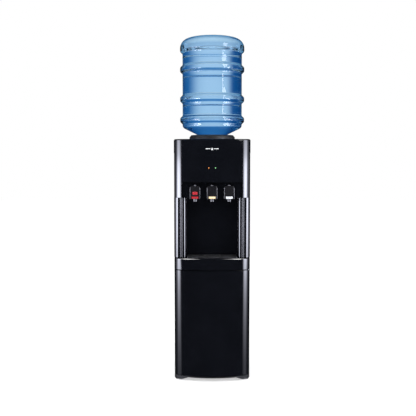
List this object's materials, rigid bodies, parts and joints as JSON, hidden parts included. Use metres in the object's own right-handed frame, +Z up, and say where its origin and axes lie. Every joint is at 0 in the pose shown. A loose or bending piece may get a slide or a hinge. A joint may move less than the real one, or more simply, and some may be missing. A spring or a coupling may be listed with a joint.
{
  "type": "water dispenser",
  "caption": "Floor-standing bottled water dispenser with an inverted bottle, push taps in an alcove, a pull-out drip tray and a lower storage door.",
  "frame": {"origin": "on the floor, at the centre of the object's box, under the bottle's axis", "axes": "+X to the right seen from the front, +Y to the rear, +Z up"},
  "size_m": [0.3144, 0.33, 1.417],
  "materials": {
    "gloss": "gloss black moulded plastic",
    "satin_black": "satin black moulded plastic",
    "side_sheet": "dark grey painted steel sheet",
    "rear_sheet": "black painted steel sheet",
    "bottle_blue": "translucent blue polycarbonate",
    "cap_white": "white soft cap",
    "tap_black": "black tap plastic",
    "tip_red": "red insert",
    "tip_cream": "cream insert",
    "tip_white": "white insert",
    "stainless": "stainless steel",
    "copper": "copper tube",
    "compressor_black": "black enamel",
    "rubber": "rubber",
    "foam": "white insulating foam",
    "hose": "food-grade silicone hose",
    "liner": "grey liner plastic",
    "zinc": "zinc-plated steel",
    "lens_orange": "orange lamp lens",
    "lens_green": "green lamp lens",
    "board": "circuit board",
    "white_cap": "white plastic",
    "red_switch": "red rocker",
    "green_switch": "green rocker"
  },
  "bodies": {
    "cabinet": {"alcove": "gloss", "base_pan": "satin_black", "bottle_collar": "satin_black", "bottle_probe": "cap_white", "cold_hose": "hose", "cold_tank": "stainless", "cold_tank_foam": "foam", "compressor": "compressor_black", "compressor_mounts": "rubber", "condenser": "compressor_black", "control_panel": "gloss", "cord_gland": "satin_black", "door_catch": "satin_black", "drain_spout": "white_cap", "evaporator_coil": "copper", "feet": "rubber", "filter_drier": "copper", "front_frame": "gloss", "heater_band": "stainless", "hot_hose": "hose", "hot_tank": "stainless", "hot_thermostats": "zinc", "lamp_board": "board", "lamp_lens_cold": "lens_green", "lamp_lens_hot": "lens_orange", "panel_screws": "zinc", "rear_panel": "rear_sheet", "refrigerant_lines": "copper", "room_hose": "hose", "side_panel_left": "side_sheet", "side_panel_right": "side_sheet", "storage_liner": "liner", "switch_bezel": "satin_black", "tap_body_cold": "tap_black", "tap_body_hot": "tap_black", "tap_body_room": "tap_black", "tap_nuts": "white_cap", "tap_springs": "stainless", "top_cover": "gloss", "upper_hinge_bracket": "zinc"},
    "door": {"door_skin": "gloss", "door_liner": "liner"},
    "tray": {"drip_tray": "gloss"},
    "grille": {"drip_grille": "satin_black"},
    "bottle_body": {"bottle": "bottle_blue", "bottle_cap": "cap_white"},
    "lever_hot": {"tap_lever_hot": "tap_black", "tap_tip_hot": "tip_red"},
    "lever_room": {"tap_lever_room": "tap_black", "tap_tip_room": "tip_cream"},
    "lever_cold": {"tap_lever_cold": "tap_black", "tap_tip_cold": "tip_white"},
    "stem_hot": {"tap_stem_hot": "tap_black"},
    "stem_room": {"tap_stem_room": "tap_black"},
    "stem_cold": {"tap_stem_cold": "tap_black"},
    "lock": {"hot_lock": "tip_red"},
    "heat_switch": {"heat_rocker": "red_switch"},
    "cool_switch": {"cool_rocker": "green_switch"},
    "drain_cap_body": {"drain_cap": "white_cap"}
  },
  "joints": [
    {"name": "door_hinge", "type": "hinge", "parent": "cabinet", "child": "door", "pos_m": [0.1485, -0.109, 0.24], "axis": [0, 0, 1], "range_deg": [0, 110]},
    {"name": "tray_slide", "type": "slide", "parent": "cabinet", "child": "tray", "axis": [0, -1, 0], "range_m": [0, 0.11]},
    {"name": "grille_lift", "type": "slide", "parent": "tray", "child": "grille", "axis": [0, 0, 1], "range_m": [0, 0.03]},
    {"name": "bottle_lift", "type": "slide", "parent": "cabinet", "child": "bottle_body", "axis": [0, 0, 1], "range_m": [0, 0.12]},
    {"name": "lever_hot_press", "type": "hinge", "parent": "cabinet", "child": "lever_hot", "pos_m": [-0.069, -0.152, 0.795], "axis": [1, 0, 0], "range_deg": [0, 12], "stiffness_Nm_per_rad": 0.5, "springref_deg": -5.73},
    {"name": "stem_hot_lift", "type": "slide", "parent": "cabinet", "child": "stem_hot", "axis": [0, 0, 1], "range_m": [0, 0.0037]},
    {"name": "lever_room_press", "type": "hinge", "parent": "cabinet", "child": "lever_room", "pos_m": [0, -0.152, 0.795], "axis": [1, 0, 0], "range_deg": [0, 12], "stiffness_Nm_per_rad": 0.5, "springref_deg": -5.73},
    {"name": "stem_room_lift", "type": "slide", "parent": "cabinet", "child": "stem_room", "axis": [0, 0, 1], "range_m": [0, 0.0037]},
    {"name": "lever_cold_press", "type": "hinge", "parent": "cabinet", "child": "lever_cold", "pos_m": [0.069, -0.152, 0.795], "axis": [1, 0, 0], "range_deg": [0, 12], "stiffness_Nm_per_rad": 0.5, "springref_deg": -5.73},
    {"name": "stem_cold_lift", "type": "slide", "parent": "cabinet", "child": "stem_cold", "axis": [0, 0, 1], "range_m": [0, 0.0037]},
    {"name": "lock_slide", "type": "slide", "parent": "lever_hot", "child": "lock", "axis": [0, 0, 1], "range_m": [0, 0.003], "stiffness_N_per_m": 200, "springref_m": -0.002},
    {"name": "heat_rock", "type": "hinge", "parent": "cabinet", "child": "heat_switch", "pos_m": [0.077, 0.1355, 0.33], "axis": [1, 0, 0], "range_deg": [-24, 0]},
    {"name": "cool_rock", "type": "hinge", "parent": "cabinet", "child": "cool_switch", "pos_m": [0.093, 0.1355, 0.33], "axis": [1, 0, 0], "range_deg": [-24, 0]},
    {"name": "drain_cap_pull", "type": "slide", "parent": "cabinet", "child": "drain_cap_body", "axis": [0, 1, 0], "range_m": [0, 0.02]}
  ],
  "couplings": [
    {"joint": "stem_hot_lift", "follows": "lever_hot_press", "m_per_rad": 0.017189},
    {"joint": "stem_room_lift", "follows": "lever_room_press", "m_per_rad": 0.017189},
    {"joint": "stem_cold_lift", "follows": "lever_cold_press", "m_per_rad": 0.017189}
  ]
}
